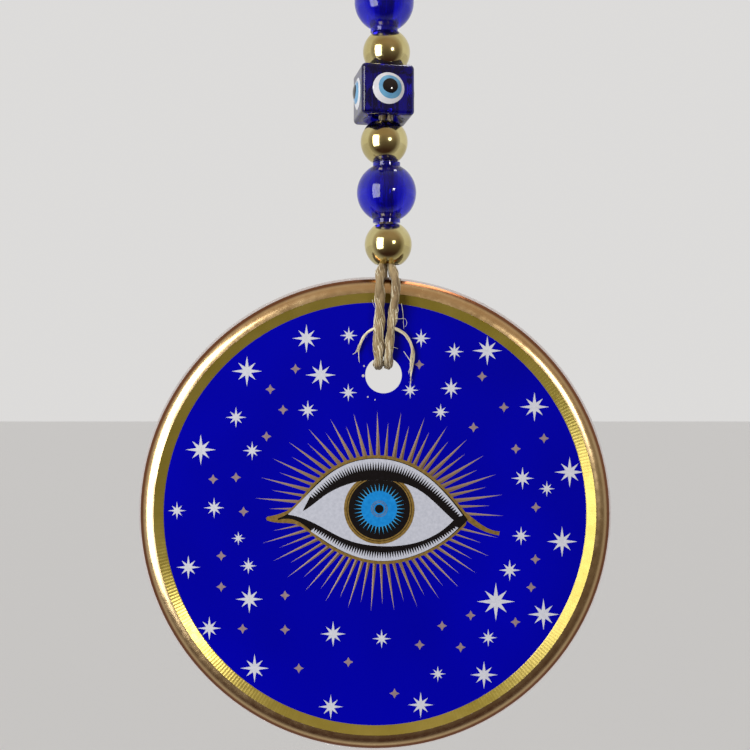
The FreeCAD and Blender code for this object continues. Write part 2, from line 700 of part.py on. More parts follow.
def cube_eyes():
    """The layered eyes on the cube's four sides: a white dome with a blue and a black one set into it."""
    white = eye_dot(size("eye_white"), 0.0, 0.75)
    blue = eye_dot(size("eye_blue"), 0.30, 0.92)
    pupil = eye_dot(size("eye_pupil"), 0.74, 1.05)
    blue.translate(V(0.12, 0.08, 0))
    pupil.translate(V(0.22, 0.30, 0))
    layers = {
        "cube_eye_whites": white.cut(blue).cut(pupil),
        "cube_eye_blues": blue.cut(pupil),
        "cube_eye_pupils": pupil,
    }
    to_side = FreeCAD.Rotation(V(1, 0, 0), 90)
    out = size("cube_width") / 2
    for name, layer in layers.items():
        copies = []
        for side in range(4):
            turn = FreeCAD.Rotation(V(0, 0, 1), 90 * side)
            spot = FreeCAD.Placement(turn.multVec(V(0, -out, 0)), turn.multiply(to_side))
            dot = layer.copy()
            dot.Placement = spot.multiply(layer.Placement)
            copies.append(dot)
        shaped(name, Part.makeCompound(copies)).Placement = cube_place


cube_eyes()


# ---------------------------------------------------------------- the twine


def tube(name, route, radius):
    """Twine along a route: straight runs joined by tangent arcs, as large as the runs beside them allow."""
    edges, radii = [], []
    here = route[0]
    for before, corner, after in zip(route, route[1:], route[2:]):
        incoming, outgoing = corner - before, after - corner
        turn = incoming.getAngle(outgoing)
        setback = 0.45 * min(incoming.Length, outgoing.Length)
        radii.append(setback / math.tan(turn / 2))
        start = corner - V(incoming).normalize() * setback
        end = corner + V(outgoing).normalize() * setback
        bisector = (V(outgoing).normalize() - V(incoming).normalize()).normalize()
        reach = radii[-1] / math.cos(turn / 2) - radii[-1]
        edges.append(Part.LineSegment(here, start).toShape())
        edges.append(Part.Arc(start, corner + bisector * reach, end).toShape())
        here = end
    edges.append(Part.LineSegment(here, route[-1]).toShape())
    path = Part.Wire(edges)
    heading = route[1] - route[0]
    section = Part.Wire([Part.Edge(Part.Circle(route[0], heading, radius))])
    solid = path.makePipeShell([section], True, False)
    expected = math.pi * radius**2 * path.Length
    print(
        f"{name}: length {path.Length:.1f}, radii {[round(r, 1) for r in radii]}, "
        f"volume {solid.Volume:.2f} of {expected:.2f}"
    )
    if abs(solid.Volume - expected) > 0.02 * expected:
        raise ValueError(f"{name} isn't a whole tube")
    return shaped(name, solid)


TWINE = size("twine_radius")
SQUEEZED = size("squeezed_radius")

# Each sling strand leaves the lowest bead in front, goes through the hole and rises behind the disc.
SLING_LEFT = [
    (-1.3, -3.5, 50.2), (-1.5, -5.2, 48.0), (-1.3, -4.7, 43.2), (-1.85, -4.15, 37.1), (-1.8, -4.05, 33.1),
    (-1.76, -2.4, 31.3), (-1.68, 2.3, 31.3), (-1.7, 3.9, 33.1), (-1.6, 4.1, 37.0), (-0.95, 4.0, 43.2),
    (-0.35, 4.1, 47.7), (-0.5, 2.8, 50.4),
]
SLING_RIGHT = [
    (1.6, -3.5, 50.2), (2.1, -5.2, 48.0), (1.55, -4.7, 43.2), (0.7, -4.15, 37.1), (0.44, -4.05, 33.1),
    (0.42, -2.4, 31.3), (0.40, 2.3, 31.3), (0.45, 3.9, 33.1), (0.75, 4.1, 37.0), (1.45, 4.0, 43.2),
    (1.95, 4.1, 47.7), (1.6, 2.8, 50.4),
]
# Plies that have worked loose from the sling, with their ends lying over the enamel.
PLY_LEFT = [(-2.6, -4.3, 38.9), (-4.2, -3.75, 38.0), (-5.4, -3.35, 36.2), (-6.2, -3.15, 33.9)]
PLY_RIGHT = [
    (1.6, -4.4, 38.9), (3.4, -3.85, 38.2), (4.75, -3.45, 36.7), (5.55, -3.3, 34.5), (5.35, -3.2, 31.9),
    (5.15, -3.15, 29.2), (5.0, -3.1, 27.2),
]
# The hanging loop, from the knot's left side up, round the nail and down to its right side.
LOOP = [
    (-1.2, 0.0, -36.2), (-2.0, 0.3, -30.6), (-3.0, 0.1, -22.4), (-3.4, -0.3, -13.0), (-2.95, -0.1, -5.0),
    (-2.65, 0.0, -0.5), (-1.1, 0.0, 1.05), (1.1, 0.0, 1.05), (2.65, 0.0, -0.5), (3.05, 0.15, -4.9),
    (3.9, 0.35, -13.4), (3.5, -0.1, -22.6), (2.3, -0.35, -30.7), (1.2, 0.0, -36.2),
]
TAIL_LEFT = [(-2.5, -0.4, -37.6), (-4.6, -0.9, -36.2), (-6.3, -1.2, -37.3), (-7.0, -1.1, -39.6)]
TAIL_RIGHT = [(2.5, 0.4, -38.2), (4.5, 1.0, -37.0), (6.2, 1.2, -38.2), (6.7, 1.0, -40.6)]

tube("sling_left", [on_string(*point) for point in SLING_LEFT], TWINE)
tube("sling_right", [on_string(*point) for point in SLING_RIGHT], TWINE)
tube("frayed_ply_left", [on_string(*point) for point in PLY_LEFT], size("ply_radius"))
tube("frayed_ply_right", [on_string(*point) for point in PLY_RIGHT], size("ply_radius"))
tube("hanging_loop", [V(*point) for point in LOOP], TWINE)
tube("twine_end_left", [V(*point) for point in TAIL_LEFT], TWINE)
tube("twine_end_right", [V(*point) for point in TAIL_RIGHT], TWINE)

# Four strands run up through the bores, squeezed together two by two.
PIVOT_RISE = size("lowest_bead_rise") - 0.7
STRAND_FOOT = size("lowest_bead_rise") + 0.9
STRAND_TOP = STACK_TOP + 0.3
OFFSET = SQUEEZED + 0.02
corners_of_four = ((-1, -1), (1, -1), (1, 1), (-1, 1))
for number, (across, deep) in enumerate(corners_of_four, start=1):
    strand = primitive("Cylinder", f"strand_{number}", Radius="@squeezed_radius")
    strand.Height = STRAND_TOP - STRAND_FOOT
    strand.Placement.Base = on_string(across * OFFSET, deep * OFFSET, STRAND_FOOT)
    node(strand, f"bead_strand_{number}")

# Below the lowest bead the four strands spread again, and the disc swings and turns there.
gather_foot, gather_top = PIVOT_RISE - 0.9, PIVOT_RISE + 0.45
gathered = None
for across, deep in corners_of_four:
    lobe = Part.makeCylinder(
        SQUEEZED + 0.06, gather_top - gather_foot, on_string(across * OFFSET, deep * OFFSET, gather_foot)
    )
    gathered = lobe if gathered is None else gathered.fuse(lobe)
shaped("gathered_strands", gathered.removeSplitter())

# The knot that closes the string, with the hanging loop coming out of its top.
KNOT = on_string(0, 0, STACK_TOP + 0.9 + size("knot_half_height"))
lump = primitive("Ellipsoid", "lump", Radius1="@knot_half_height", Radius2="@knot_width")
bound(lump, "Radius3", "@knot_width")
wrap = primitive("Torus", "wrap", Radius1="@knot_width - 0.9", Radius2="@twine_radius + 0.25")
wrap.Placement = FreeCAD.Placement(V(0, 0, 0), FreeCAD.Rotation(V(1, 0, 0), 14))
knot = boolean("Fuse", "knot", lump, wrap)
knot.Placement.Base = KNOT
node(knot, "hanging_knot")


# ---------------------------------------------------------------- checks and export

doc.recompute()
for obj in doc.Objects:
    if "Invalid" in obj.State or "Error" in obj.State:
        raise RuntimeError(f"{obj.Label} didn't recompute: {obj.State}")
labels = [obj.Label for obj in nodes]
if len(set(labels)) != len(labels):
    raise RuntimeError("two pieces share a name")
for obj in nodes:
    if obj.Shape.isNull() or not obj.Shape.isValid() or not obj.Shape.Solids:
        raise RuntimeError(f"{obj.Label} has no valid solid")
for obj in nodes:
    obj.Shape.exportStep(f"parts/{obj.Label}.step")
    box = obj.Shape.BoundBox
    print(
        f"{obj.Label}: {len(obj.Shape.Solids)} solids, {obj.Shape.Volume:.2f} mm3, "
        f"x {box.XMin:.2f}..{box.XMax:.2f}, y {box.YMin:.2f}..{box.YMax:.2f}, z {box.ZMin:.2f}..{box.ZMax:.2f}"
    )
print(f"{len(nodes)} pieces; bead middles {middles}, top of the beads {STACK_TOP:.2f}")
sway_pivot = on_string(0, 0, STACK_TOP + 0.6)
print(f"knot {KNOT}, swing pivot {on_string(0, 0, PIVOT_RISE)}, sway pivot {sway_pivot}")
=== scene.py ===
"""Looks for the evil eye ornament: jute twine, gilt and enamelled glass disc, metallised and glass beads.

Everything is in metres in the row frame: origin at the nail, +Z up, printed face towards -Y.
"""
import math
import random

import bpy
import numpy as np
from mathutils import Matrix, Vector


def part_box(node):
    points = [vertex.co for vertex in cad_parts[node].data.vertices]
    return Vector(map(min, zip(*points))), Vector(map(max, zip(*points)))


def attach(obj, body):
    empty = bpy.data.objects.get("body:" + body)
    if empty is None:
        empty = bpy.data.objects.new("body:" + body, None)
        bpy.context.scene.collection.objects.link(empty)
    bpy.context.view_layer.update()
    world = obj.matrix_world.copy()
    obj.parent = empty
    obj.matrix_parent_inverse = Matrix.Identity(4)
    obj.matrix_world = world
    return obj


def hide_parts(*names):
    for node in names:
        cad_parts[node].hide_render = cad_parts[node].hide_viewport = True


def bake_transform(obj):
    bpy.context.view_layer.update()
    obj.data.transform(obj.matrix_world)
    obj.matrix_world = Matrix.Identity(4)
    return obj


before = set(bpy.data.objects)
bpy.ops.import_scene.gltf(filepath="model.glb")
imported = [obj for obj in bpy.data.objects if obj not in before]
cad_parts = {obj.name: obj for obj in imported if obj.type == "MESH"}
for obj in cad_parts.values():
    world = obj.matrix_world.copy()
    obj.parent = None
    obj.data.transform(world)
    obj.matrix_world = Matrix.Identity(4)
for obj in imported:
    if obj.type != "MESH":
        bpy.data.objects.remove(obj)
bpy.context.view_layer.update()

MM = 0.001
TURN = 2 * math.pi
scene = bpy.context.scene
scene.view_settings.view_transform = "Standard"

# ---------------------------------------------------------------- places taken from the frame

glass_low, glass_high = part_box("glass_disc")
DISC = (glass_low + glass_high) / 2
DISC_RADIUS = (glass_high.x - glass_low.x) / 2
DISC.y = 0.0
PUPIL = sum(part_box("pupil"), Vector()) / 2
HOLE_RISE = 29.2 * MM


# ---------------------------------------------------------------- small helpers

def link(name, data):
    obj = bpy.data.objects.new(name, data)
    scene.collection.objects.link(obj)
    return obj


def mesh_object(name, points, faces):
    mesh = bpy.data.meshes.new(name)
    mesh.from_pydata([tuple(p) for p in points], [], faces)
    mesh.polygons.foreach_set("use_smooth", [True] * len(mesh.polygons))
    mesh.update()
    return link(name, mesh)


def spline_points(route, per_span=24):
    """Even points along the smooth NURBS line whose control points are the route's."""
    curve = bpy.data.curves.new("route", "CURVE")
    curve.dimensions = "3D"
    curve.resolution_u = per_span
    spline = curve.splines.new("NURBS")
    spline.points.add(len(route) - 1)
    for point, place in zip(spline.points, route):
        point.co = (*place, 1.0)
    spline.order_u = 3
    spline.use_endpoint_u = True
    holder = bpy.data.objects.new("route", curve)
    line_mesh = bpy.data.meshes.new_from_object(holder)
    line = np.array([v.co for v in line_mesh.vertices], float)
    bpy.data.objects.remove(holder)
    bpy.data.meshes.remove(line_mesh)
    bpy.data.curves.remove(curve)
    return line


def evened(line, step):
    """The same line with points an equal step apart, and its length."""
    along = np.concatenate([[0.0], np.cumsum(np.linalg.norm(np.diff(line, axis=0), axis=1))])
    count = max(8, int(round(along[-1] / step)))
    at = np.linspace(0.0, along[-1], count + 1)
    return np.stack([np.interp(at, along, line[:, k]) for k in range(3)], axis=1), along[-1]


def carried_frames(line):
    """Tangent and two normals at each point, turned as little as the line allows."""
    tangents = np.gradient(line, axis=0)
    tangents /= np.linalg.norm(tangents, axis=1)[:, None]
    first = np.cross(tangents[0], (0.0, 1.0, 0.0))
    if np.linalg.norm(first) < 0.2:
        first = np.cross(tangents[0], (1.0, 0.0, 0.0))
    normals = [first / np.linalg.norm(first)]
    for tangent in tangents[1:]:
        carried = normals[-1] - tangent * np.dot(normals[-1], tangent)
        normals.append(carried / np.linalg.norm(carried))
    normals = np.array(normals)
    return tangents, normals, np.cross(tangents, normals)


def tube_grid(line, radius, sides):
    """Rings round a line. radius is one number or one per point."""
    _, normals, binormals = carried_frames(line)
    reach = np.broadcast_to(radius, len(line))[:, None]
    grid = np.zeros((len(line), sides, 3))
    for k, angle in enumerate(np.linspace(0, TURN, sides, endpoint=False)):
        grid[:, k] = line + reach * (math.cos(angle) * normals + math.sin(angle) * binormals)
    return grid


def grid_faces(rings, sides, offset):
    """The faces of a tube of rings, with a lid on each end. offset is its first point's number."""
    faces = []
    for i in range(rings - 1):
        for k in range(sides):
            a, b = offset + i * sides + k, offset + i * sides + (k + 1) % sides
            faces.append((a, b, b + sides, a + sides))
    faces.append(tuple(offset + k for k in reversed(range(sides))))
    faces.append(tuple(offset + (rings - 1) * sides + k for k in range(sides)))
    return faces


class Builder:
    """Collects tubes into one mesh. Each tube has a tone from 0 (dark fibre) to 1 (pale fibre)."""

    def __init__(self):
        self.points, self.faces, self.tones = [], [], []

    def tube(self, line, radius, sides, tone):
        grid = tube_grid(np.asarray(line, float), radius, sides)
        self.faces += grid_faces(len(grid), sides, len(self.points))
        self.points += list(grid.reshape(-1, 3))
        self.tones += [tone] * (len(grid) * sides)

    def finish(self, name):
        obj = mesh_object(name, self.points, self.faces)
        tones = obj.data.attributes.new("tone", "FLOAT", "POINT")
        tones.data.foreach_set("value", self.tones)
        return obj


# ---------------------------------------------------------------- camera

VIEW_DISTANCE = 0.323


def make_camera():
    """A level lens about a third of a metre in front of the disc, centred on its drilled hole."""
    data = bpy.data.cameras.new("camera")
    data.sensor_width = 36.0
    data.lens = 73.2
    data.clip_start, data.clip_end = 0.01, 120.0
    camera = link("camera", data)
    camera.location = (DISC.x, -VIEW_DISTANCE, DISC.z + HOLE_RISE)
    camera.rotation_euler = (math.radians(90), 0, 0)
    scene.camera = camera


make_camera()


# ---------------------------------------------------------------- twine

TWINE_RADIUS = 0.95 * MM
STRAND_RADIUS = 0.76 * MM
STRAND_PLACE = 0.78 * MM
PLIES = 2
TWINE_PITCH = 10.5 * MM
KNOT_PITCH = 8.6 * MM


def add_fibres(build, line, radius, rng, per_mm, reach, thick=0.024):
    """Loose hairs that leave the twine, curl a little and end in the air. reach and thick are in mm."""
    tangents, normals, binormals = carried_frames(line)
    length = np.linalg.norm(np.diff(line, axis=0), axis=1).sum() / MM
    for _ in range(int(length * per_mm)):
        root = int(rng.uniform(0.0, 1.0) * (len(line) - 1))
        turn = rng.uniform(0, TURN)
        out = math.cos(turn) * normals[root] + math.sin(turn) * binormals[root]
        run = tangents[root] * rng.choice((-1, 1))
        side = np.cross(out, run)
        long = reach * MM * rng.uniform(0.25, 1.0) ** 1.5
        lean, curl = rng.uniform(0.25, 0.9), rng.uniform(-0.6, 0.6)
        start = line[root] + out * radius * 0.8
        hair = [
            start + long * (s * (1 - 0.4 * s) * lean * out + s * run * (1.1 - lean)
                            + curl * s * s * side * 0.5)
            for s in np.linspace(0, 1, 6)
        ]
        build.tube(hair, thick * MM * np.linspace(1.0, 0.35, 6), 3, tone=rng.uniform(0.5, 1.0))


def wind(build, line, radius, rng, pitch, fibres):
    """Winds the plies round a line, each one a core covered with long fibres that lie along it."""
    _, normals, binormals = carried_frames(line)
    count = len(line)
    along = np.concatenate([[0.0], np.cumsum(np.linalg.norm(np.diff(line, axis=0), axis=1))])
    radius = np.broadcast_to(radius, count)
    spin = TURN * along / pitch + rng.uniform(0, 6)
    for ply in range(PLIES):
        angle = spin + TURN * ply / PLIES
        uneven = 1.0 + 0.05 * np.sin(TURN * along / (rng.uniform(3, 7) * MM) + ply)
        ply_radius = 0.76 * radius * uneven
        out = (0.24 * radius)[:, None]
        middle = line + out * (np.cos(angle)[:, None] * normals + np.sin(angle)[:, None] * binormals)
        # The core gets a low tone, so it is painted dark brown as the shade in the hollows between its
        # fibres.
        build.tube(middle, 0.94 * ply_radius, 12, tone=0.18)
        for _ in range(fibres):
            start = rng.uniform(0, TURN)
            lay = start - along / (rng.uniform(1.6, 3.2) * MM)
            drift = 0.94 + 0.09 * np.sin(along / (rng.uniform(0.8, 2.6) * MM) + rng.uniform(0, 6))
            reach = (ply_radius * drift)[:, None]
            first = int(rng.uniform(0, 0.75) * count)
            last = min(count, first + int(rng.uniform(0.2, 0.5) * count) + 8)
            fibre = middle + reach * (np.cos(lay)[:, None] * normals + np.sin(lay)[:, None] * binormals)
            thick = rng.uniform(0.045, 0.085) * MM
            build.tube(fibre[first:last:2], thick, 4, tone=rng.uniform(0.15, 1.0))


def twine(build, route, radius, seed, hairs, hair_reach=1.3, step=0.16, squeeze=None, fibres=64):
    """Two-ply twine along a route, with so many loose hairs per mm. Gives its line and its length."""
    rng = random.Random(seed)
    line, length = evened(spline_points(route), step * MM)
    along = np.linspace(0, length, len(line))
    wobble = np.zeros(len(line))
    for _ in range(4):
        period, start = rng.uniform(2.0, 11.0) * MM, rng.uniform(0, 6.3)
        wobble += 0.022 * np.sin(TURN * along / period + start)
    thickness = radius * (1.0 + wobble)
    if squeeze is not None:
        thickness = thickness * squeeze(along / length)
    wind(build, line, thickness, rng, TWINE_PITCH, fibres)
    add_fibres(build, line, radius, rng, hairs, hair_reach)
    return line, length


# The slings: out of the lowest bead, down the front, through the hole and up the back, as in part.py,
# with two more points at each end that lead into the bead's bore.
SLING_LEFT = [
    (-0.0008, -0.0008, -0.1123), (-0.0010, -0.0016, -0.1139), (-0.0013, -0.0038, -0.1157),
    (-0.0015, -0.0054, -0.1180), (-0.0013, -0.0048, -0.1228), (-0.00168, -0.0043, -0.1289),
    (-0.00165, -0.0042, -0.1330), (-0.0017, -0.0024, -0.1347), (-0.00168, 0.0023, -0.1347),
    (-0.0017, 0.0040, -0.1330), (-0.0016, 0.0042, -0.1290), (-0.00095, 0.0041, -0.1228),
    (-0.00035, 0.0042, -0.1183), (-0.0005, 0.0030, -0.1158), (-0.0007, 0.0015, -0.1140),
    (-0.0008, 0.0008, -0.1123),
]
SLING_RIGHT = [
    (0.0008, -0.0008, -0.1123), (0.0012, -0.0016, -0.1139), (0.0016, -0.0038, -0.1157),
    (0.0021, -0.0054, -0.1180), (0.00155, -0.0048, -0.1228), (0.0007, -0.0042, -0.1289),
    (0.00044, -0.00415, -0.1330), (0.00042, -0.0024, -0.1347), (0.0004, 0.0023, -0.1347),
    (0.00045, 0.0040, -0.1330), (0.00075, 0.0042, -0.1290), (0.00145, 0.0041, -0.1228),
    (0.00195, 0.0042, -0.1183), (0.0016, 0.0030, -0.1158), (0.0011, 0.0015, -0.1140),
    (0.0008, 0.0008, -0.1123),
]
LOOP = [
    (-0.0012, 0.0, -0.0362), (-0.0020, 0.0003, -0.0306), (-0.0030, 0.0001, -0.0224),
    (-0.0034, -0.0003, -0.0130), (-0.00295, -0.0001, -0.0050), (-0.00265, 0.0, -0.0005),
    (-0.0011, 0.0, 0.00105), (0.0011, 0.0, 0.00105), (0.00265, 0.0, -0.0005),
    (0.00305, 0.00015, -0.0049), (0.0039, 0.00035, -0.0134), (0.0035, -0.0001, -0.0226),
    (0.0023, -0.00035, -0.0307), (0.0012, 0.0, -0.0362),
]
TAIL_LEFT = [
    (-0.0018, -0.0002, -0.0382), (-0.0046, -0.0009, -0.0362), (-0.0063, -0.0012, -0.0373),
    (-0.0070, -0.0011, -0.0396),
]
TAIL_RIGHT = [
    (0.0018, 0.0002, -0.0386), (0.0045, 0.0010, -0.0370), (0.0062, 0.0012, -0.0382),
    (0.0067, 0.0010, -0.0406),
]


def left_strand(share):
    """Pressed thin in the bead's mouth, and loosely laid, so thicker, just above the hole."""
    in_mouth = 0.78 + 0.22 * np.clip(np.minimum(share, 1 - share) / 0.075, 0, 1)
    return in_mouth * (1.14 + 0.14 * np.exp(-(((share - 0.34) / 0.10) ** 2)))


def right_strand(share):
    """Pressed thin in the bead's mouth, and a little tighter laid than the left one."""
    return 0.76 + 0.26 * np.clip(np.minimum(share, 1 - share) / 0.075, 0, 1)


def make_slings():
    """The two stretches that carry the disc, baked in place in the frame."""
    for side, route, seed, node, widths in (
        ("left", SLING_LEFT, 11, "sling_left", left_strand),
        ("right", SLING_RIGHT, 23, "sling_right", right_strand),
    ):
        build = Builder()
        line, length = twine(build, route, TWINE_RADIUS, seed, squeeze=widths, hairs=1.5)
        obj = build.finish(f"twine_{side}")
        stands_for = [node] + (["gathered_strands"] if side == "left" else [])
        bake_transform(obj)
        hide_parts(*stands_for)
        yield obj


def make_loop():
    """The loop that hangs on the nail."""
    build = Builder()
    line, length = twine(build, LOOP, TWINE_RADIUS, 37, hairs=1.2)
    obj = build.finish("hanging_twine")
    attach(obj, "hanger")
    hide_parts("hanging_loop")
    return obj


def make_bead_strands():
    """The four squeezed strands inside the beads."""
    low, high = (corner.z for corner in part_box("bead_strand_1"))
    heights = (high + 0.4 * MM, high - 5 * MM, (low + high) / 2, low + 5 * MM, low)
    for number, (across, deep) in enumerate(((-1, -1), (1, -1), (1, 1), (-1, 1)), start=1):
        route = [(across * STRAND_PLACE, deep * STRAND_PLACE, z) for z in heights]
        build = Builder()
        line, length = twine(build, route, STRAND_RADIUS, 50 + number, hairs=0.0, step=0.4, fibres=14)
        obj = build.finish(f"bead_twine_{number}")
        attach(obj, "string")
        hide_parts(f"bead_strand_{number}")
        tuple(route[0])
        yield obj


def brush_end(build, start, along, rng, count, reach):
    """A cut end that has come apart into its fibres."""
    along = along / np.linalg.norm(along)
    side = np.cross(along, (0.31, 0.9, 0.2))
    side /= np.linalg.norm(side)
    other = np.cross(along, side)
    for _ in range(count):
        turn, spread = rng.uniform(0, 6.283), rng.uniform(0.05, 0.55)
        out = math.cos(turn) * side + math.sin(turn) * other
        root = start + out * rng.uniform(0, 0.75) * TWINE_RADIUS - along * 0.6 * MM
        long = reach * rng.uniform(0.5, 1.0)
        hair = [root + long * (s * along + spread * s * s * out + 0.1 * math.sin(3 * s + turn) * s * other)
                for s in np.linspace(0, 1, 7)]
        build.tube(hair, 0.05 * MM * np.linspace(1.0, 0.4, 7), 4, tone=rng.uniform(0.3, 1.0))


def make_tails():
    """The twine's two cut ends, which stand off the knot."""
    for side, route, seed in (("left", TAIL_LEFT, 71), ("right", TAIL_RIGHT, 83)):
        build = Builder()
        line, _ = twine(build, route, TWINE_RADIUS, seed, hairs=2.0, hair_reach=1.2)
        brush_end(build, line[-1], line[-1] - line[-4], random.Random(seed), 46, 2.0 * MM)
        obj = build.finish(f"cut_end_{side}")
        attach(obj, "hanger")
        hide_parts(f"twine_end_{side}")
        yield obj


def make_knot():
    """The overhand knot that closes the string: the doubled twine wound over itself and pulled tight."""
    low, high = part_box("hanging_knot")
    centre = (low + high) / 2
    wide, tall = (high.x - low.x) / 2, (high.z - low.z) / 2
    build = Builder()
    turns = np.linspace(0, TURN, 240)
    scale = (wide - TWINE_RADIUS) / 3.0
    for strand, shift in enumerate((-0.5, 0.5)):
        x = (np.sin(turns) + 2 * np.sin(2 * turns)) * scale
        y = (np.cos(turns) - 2 * np.cos(2 * turns)) * scale * 0.9
        z = -np.sin(3 * turns) * (tall - TWINE_RADIUS) * 0.62 + shift * 0.95 * TWINE_RADIUS
        loop = np.stack([x, y, z], axis=1) + np.array(centre)
        rng = random.Random(91 + strand)
        wind(build, loop, 0.95 * TWINE_RADIUS, rng, KNOT_PITCH, 60)
        add_fibres(build, loop, TWINE_RADIUS, rng, 0.8, 1.0)
    obj = build.finish("closing_knot")
    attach(obj, "hanger")
    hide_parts("hanging_knot")
    return obj


# Loose plies at the slings' feet, and the branches that their tips split into.
PLY_LEFT = [
    (-0.0022, -0.0046, -0.1268), (-0.0042, -0.00385, -0.1279), (-0.0054, -0.0034, -0.1298),
    (-0.0062, -0.0032, -0.1321),
]
PLY_LEFT_TIPS = [
    [(-0.0057, -0.0034, -0.1310), (-0.0062, -0.0032, -0.1321), (-0.0069, -0.00325, -0.1323)],
    [(-0.0057, -0.0034, -0.1309), (-0.00595, -0.0032, -0.1322), (-0.0057, -0.0032, -0.1341)],
]
PLY_RIGHT = [
    (0.0011, -0.0048, -0.1268), (0.0034, -0.0040, -0.1277), (0.00475, -0.0035, -0.1293),
    (0.00555, -0.0034, -0.1315), (0.00535, -0.0033, -0.1341), (0.00515, -0.00325, -0.1368),
    (0.0050, -0.0032, -0.1389),
]
PLY_RIGHT_TIPS = [
    [(0.00545, -0.0034, -0.1345), (0.0047, -0.0034, -0.1334), (0.0037, -0.0033, -0.1318)],
    [(0.0054, -0.0034, -0.1336), (0.0052, -0.0034, -0.1350), (0.0047, -0.0033, -0.1363)],
]


def frayed_ply(name, route, tips, radius_at, seed, node):
    """A bundle of fine fibres that has come off the twine, thin and thick by turns, splitting at its tips."""
    rng = random.Random(seed)
    build = Builder()
    line, _ = evened(spline_points(route), 0.12 * MM)
    _, normals, binormals = carried_frames(line)
    share = np.linspace(0, 1, len(line))
    width = radius_at(share)
    for _ in range(22):
        turn, twist = rng.uniform(0, 6.283), rng.uniform(2.0, 4.5)
        angle = turn + twist * share * 2
        out = (width * rng.uniform(0.15, 0.85))[:, None]
        middle = line + out * (np.cos(angle)[:, None] * normals + np.sin(angle)[:, None] * binormals)
        stop = int(len(line) * rng.uniform(0.82, 1.0))
        build.tube(middle[:stop], 0.085 * MM * np.linspace(1.0, 0.55, stop), 5, tone=rng.uniform(0.45, 1.0))
    for tip in tips:
        branch, _ = evened(spline_points(tip), 0.12 * MM)
        for _ in range(4):
            shift = np.array([rng.uniform(-1, 1), rng.uniform(-0.4, 0.4), rng.uniform(-1, 1)]) * 0.11 * MM
            fan = np.linspace(0, 1, len(branch))[:, None] * shift * 1.6
            thickness = 0.075 * MM * np.linspace(1.0, 0.3, len(branch))
            build.tube(branch + shift * 0.4 + fan, thickness, 5, tone=0.8)
    add_fibres(build, line, width.mean(), rng, 2.2, 1.1, thick=0.02)
    obj = build.finish(name)
    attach(obj, "disc")
    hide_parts(node)
    return obj


def left_width(share):
    """The left loose ply swells towards its split tip."""
    return (0.29 + 0.20 * share**2 + 0.05 * np.sin(9 * share)) * MM


def right_width(share):
    """The right loose ply has one bulge and thins out below it."""
    bulge = 0.24 * np.exp(-(((share - 0.60) / 0.12) ** 2))
    return (0.34 - 0.24 * np.clip((share - 0.72) / 0.28, 0, 1) + bulge) * MM


def make_strays():
    """Long single hairs that stand off the right-hand strand, as picked-out fibres do."""
    build = Builder()
    hairs = [
        [(0.0031, -0.0052, -0.1219), (0.0034, -0.0050, -0.1232), (0.0035, -0.0050, -0.1252),
         (0.0036, -0.0048, -0.1272)],
        [(0.0018, -0.0056, -0.1250), (0.0028, -0.0054, -0.1252), (0.0038, -0.0052, -0.1248),
         (0.0042, -0.0052, -0.1255)],
        [(0.0042, -0.0052, -0.1255), (0.0043, -0.0050, -0.1264), (0.0038, -0.0050, -0.1268)],
        [(0.0020, -0.0055, -0.1238), (0.0026, -0.0054, -0.1240), (0.0024, -0.0054, -0.1226)],
        [(-0.0030, -0.0050, -0.1211), (-0.0027, -0.0052, -0.1222), (-0.0024, -0.0054, -0.1228)],
        [(0.0014, -0.0048, -0.1310), (0.0020, -0.0047, -0.1311), (0.0024, -0.0046, -0.1313)],
    ]
    for hair in hairs:
        line, _ = evened(spline_points(hair), 0.15 * MM)
        build.tube(line, 0.05 * MM * np.linspace(1.0, 0.5, len(line)), 5, tone=0.75)
    obj = build.finish("stray_hairs")
    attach(obj, "disc")
    return obj


jute_pieces = [
    *make_slings(),
    make_loop(),
    *make_bead_strands(),
    *make_tails(),
    make_knot(),
    frayed_ply("loose_ply_left", PLY_LEFT, PLY_LEFT_TIPS, left_width, 101, "frayed_ply_left"),
    frayed_ply("loose_ply_right", PLY_RIGHT, PLY_RIGHT_TIPS, right_width, 113, "frayed_ply_right"),
    make_strays(),
]


# ---------------------------------------------------------------- materials

def material(name, **sockets):
    mat = bpy.data.materials.new(name)
    mat.use_nodes = True
    shader = mat.node_tree.nodes["Principled BSDF"]
    for socket, value in sockets.items():
        shader.inputs[socket.replace("_", " ")].default_value = value
    return mat, mat.node_tree, shader


def add(tree, kind, **settings):
    """A node with its settings and socket values; an underscore stands for a space in a socket's name."""
    n = tree.nodes.new(kind)
    for key, value in settings.items():
        if hasattr(n, key):
            setattr(n, key, value)
        else:
            n.inputs[key.replace("_", " ")].default_value = value
    return n


def noise(tree, vector, scale, detail=3.0, roughness=0.55):
    n = add(tree, "ShaderNodeTexNoise", Scale=scale, Detail=detail, Roughness=roughness)
    tree.links.new(vector, n.inputs["Vector"])
    return n.outputs["Fac"]


def ramp(tree, value, stops):
    n = tree.nodes.new("ShaderNodeValToRGB")
    elements = n.color_ramp.elements
    while len(elements) < len(stops):
        elements.new(0.5)
    for element, (at, colour) in zip(elements, stops):
        element.position = at
        element.color = (*colour, 1.0)
    tree.links.new(value, n.inputs["Fac"])
    return n.outputs["Color"]


def spread_value(tree, value, low, high):
    """Maps a 0 to 1 value to low to high."""
    n = add(tree, "ShaderNodeMapRange", To_Min=low, To_Max=high)
    tree.links.new(value, n.inputs["Value"])
    return n.outputs["Result"]


def share_of(tree, value, start, end):
    """How far a value is on its way from start to end, from 0 to 1."""
    n = add(tree, "ShaderNodeMapRange", From_Min=start, From_Max=end)
    tree.links.new(value, n.inputs["Value"])
    return n.outputs["Result"]


